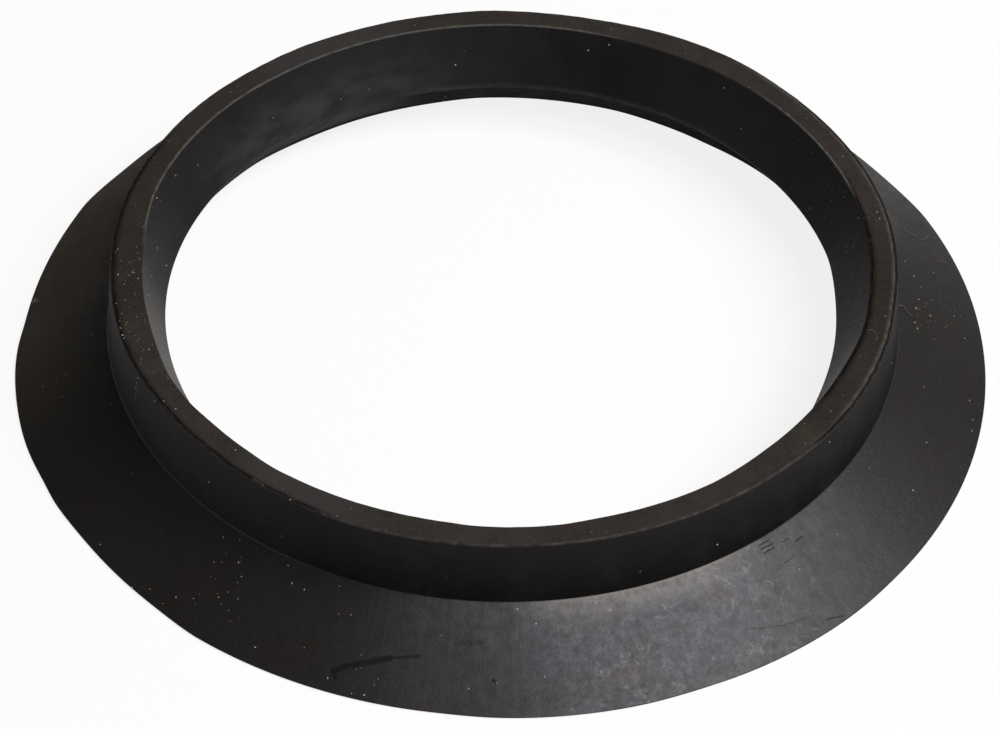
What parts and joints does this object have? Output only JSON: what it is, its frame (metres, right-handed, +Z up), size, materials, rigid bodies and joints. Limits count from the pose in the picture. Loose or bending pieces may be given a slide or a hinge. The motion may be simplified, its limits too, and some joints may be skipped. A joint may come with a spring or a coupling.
{
  "type": "flush valve seal",
  "caption": "Round black rubber seal for the flush valve of a cistern: an upright collar with a flat top face and an inner lip, on a wide conical skirt.",
  "frame": {"origin": "centre of the ring, in the plane that the edge of the skirt stands on", "axes": "+Z up along the axis of the ring, from the skirt to the top face of the collar; the ring is the same all the way round, so X and Y are free"},
  "size_m": [0.09, 0.09, 0.0114],
  "materials": {
    "black_rubber": "matt black moulded rubber with a grey bloom, a ground top face and a few dust specks"
  },
  "bodies": {
    "root": {"seal_ring": "black_rubber"}
  },
  "joints": []
}
